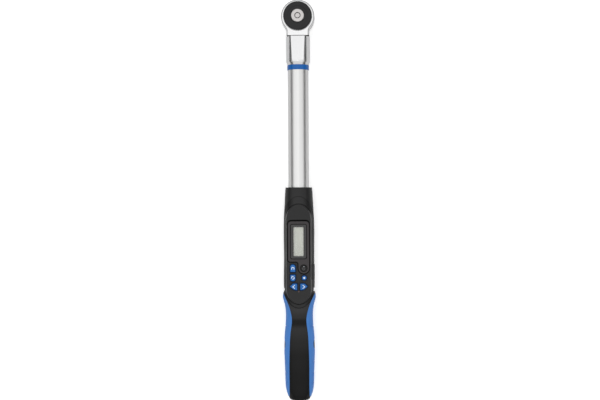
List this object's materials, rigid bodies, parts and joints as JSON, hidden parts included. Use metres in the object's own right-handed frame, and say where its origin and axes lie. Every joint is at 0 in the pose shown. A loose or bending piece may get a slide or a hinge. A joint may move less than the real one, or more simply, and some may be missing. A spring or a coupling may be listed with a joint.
{
  "type": "torque wrench",
  "caption": "Electronic torque wrench with a reversible ratchet head, square drive, lever tube, display housing with keys and a two-colour grip.",
  "frame": {"origin": "where the square drive's axis crosses the lever tube's axis", "axes": "+Z out of the display face, the square drive points to -Z, +Y along the tube past the head, the grip towards -Y, +X to the right seen from above"},
  "size_m": [0.0448, 0.535, 0.0529],
  "materials": {
    "polished_steel": "polished",
    "satin_steel": "satin, brushed",
    "hardened_steel": "ground",
    "black_polymer": "fine moulded texture",
    "panel_polymer": "semi-gloss",
    "blue_polymer": "satin",
    "blue_elastomer": "soft touch",
    "black_elastomer": "matt",
    "black_core": "satin",
    "window": "clear",
    "display_glass": "matt display",
    "board": "solder mask",
    "contact_metal": "plated",
    "cell_jacket": "printed sleeve",
    "lamp": "tinted",
    "natural_polymer": "moulded"
  },
  "bodies": {
    "frame": {"head_forging": "polished_steel", "retaining_ring": "hardened_steel", "collar": "polished_steel", "collar_pins": "hardened_steel", "trim_ring": "blue_polymer", "lever_tube": "satin_steel", "sensing_beam": "satin_steel", "strain_gauges": "contact_metal", "gauge_cable": "black_elastomer", "housing_upper": "black_polymer", "housing_lower": "black_polymer", "housing_screws": "hardened_steel", "face_panel": "panel_polymer", "display_lens": "window", "lcd_module": "display_glass", "circuit_board": "board", "snap_domes": "contact_metal", "keypad_mat": "natural_polymer", "buzzer": "black_polymer", "port_socket": "contact_metal", "status_lamp": "lamp", "handle_core": "black_core", "grip_left": "blue_elastomer", "grip_right": "blue_elastomer", "grip_discs": "black_elastomer", "battery_sleeve": "natural_polymer", "cells": "cell_jacket", "front_contact": "contact_metal", "bayonet_ring": "natural_polymer"},
    "rotor": {"drive_rotor": "polished_steel", "cover_plate": "hardened_steel", "pawl_pin": "hardened_steel", "dial_clip": "hardened_steel", "detent_ball": "hardened_steel", "detent_spring": "hardened_steel", "release_spring": "hardened_steel"},
    "dial": {"reverse_dial": "black_polymer", "cam_finger": "hardened_steel"},
    "rocking_pawl": {"pawl": "hardened_steel"},
    "release": {"release_button": "satin_steel", "release_rod": "hardened_steel"},
    "retaining_ball": {"socket_ball": "hardened_steel"},
    "menu_key": {"key_menu": "blue_polymer"},
    "unit_key": {"key_unit": "blue_polymer"},
    "round_key": {"key_round": "blue_polymer"},
    "back_key": {"key_back": "blue_polymer"},
    "forward_key": {"key_forward": "blue_polymer"},
    "power_key": {"key_power": "panel_polymer"},
    "port_flap": {"port_cover": "black_elastomer"},
    "end_cap": {"battery_cap": "black_core", "cap_seal": "black_elastomer", "cap_spring": "contact_metal"}
  },
  "joints": [
    {"name": "drive_turn", "type": "hinge", "parent": "frame", "child": "rotor", "pos_m": [0, 0, 0], "axis": [0, 0, 1], "continuous": true},
    {"name": "dial_turn", "type": "hinge", "parent": "rotor", "child": "dial", "pos_m": [0, 0, 0], "axis": [0, 0, 1], "range_deg": [0, 50]},
    {"name": "pawl_rock", "type": "hinge", "parent": "rotor", "child": "rocking_pawl", "pos_m": [0, 0.0144, 0], "axis": [0, 0, 1], "range_deg": [-13, 0]},
    {"name": "release_press", "type": "slide", "parent": "rotor", "child": "release", "axis": [0, 0, -1], "range_m": [0, 0.003], "stiffness_N_per_m": 900, "springref_m": -0.002, "deforming": ["release_spring"]},
    {"name": "ball_retract", "type": "slide", "parent": "rotor", "child": "retaining_ball", "axis": [0, -1, 0], "range_m": [0, 0.001]},
    {"name": "menu_key_press", "type": "slide", "parent": "frame", "child": "menu_key", "axis": [0, 0, -1], "range_m": [0, 0.0007], "stiffness_N_per_m": 1500, "springref_m": -0.0006},
    {"name": "unit_key_press", "type": "slide", "parent": "frame", "child": "unit_key", "axis": [0, 0, -1], "range_m": [0, 0.0007], "stiffness_N_per_m": 1500, "springref_m": -0.0006},
    {"name": "round_key_press", "type": "slide", "parent": "frame", "child": "round_key", "axis": [0, 0, -1], "range_m": [0, 0.0007], "stiffness_N_per_m": 1500, "springref_m": -0.0006},
    {"name": "back_key_press", "type": "slide", "parent": "frame", "child": "back_key", "axis": [0, 0, -1], "range_m": [0, 0.0007], "stiffness_N_per_m": 1500, "springref_m": -0.0006},
    {"name": "forward_key_press", "type": "slide", "parent": "frame", "child": "forward_key", "axis": [0, 0, -1], "range_m": [0, 0.0007], "stiffness_N_per_m": 1500, "springref_m": -0.0006},
    {"name": "power_key_press", "type": "slide", "parent": "frame", "child": "power_key", "axis": [0, 0, -1], "range_m": [0, 0.0007], "stiffness_N_per_m": 1500, "springref_m": -0.0006},
    {"name": "port_flap_open", "type": "hinge", "parent": "frame", "child": "port_flap", "pos_m": [0.02, -0.34075, 0.0042], "axis": [0, 1, 0], "range_deg": [0, 95]},
    {"name": "end_cap_turn", "type": "hinge", "parent": "frame", "child": "end_cap", "pos_m": [0, -0.51, 0], "axis": [0, 1, 0], "range_deg": [0, 60]}
  ],
  "couplings": [
    {"joint": "pawl_rock", "follows": "dial_turn", "ratio": -0.26},
    {"joint": "ball_retract", "follows": "release_press", "ratio": 0.3333}
  ]
}
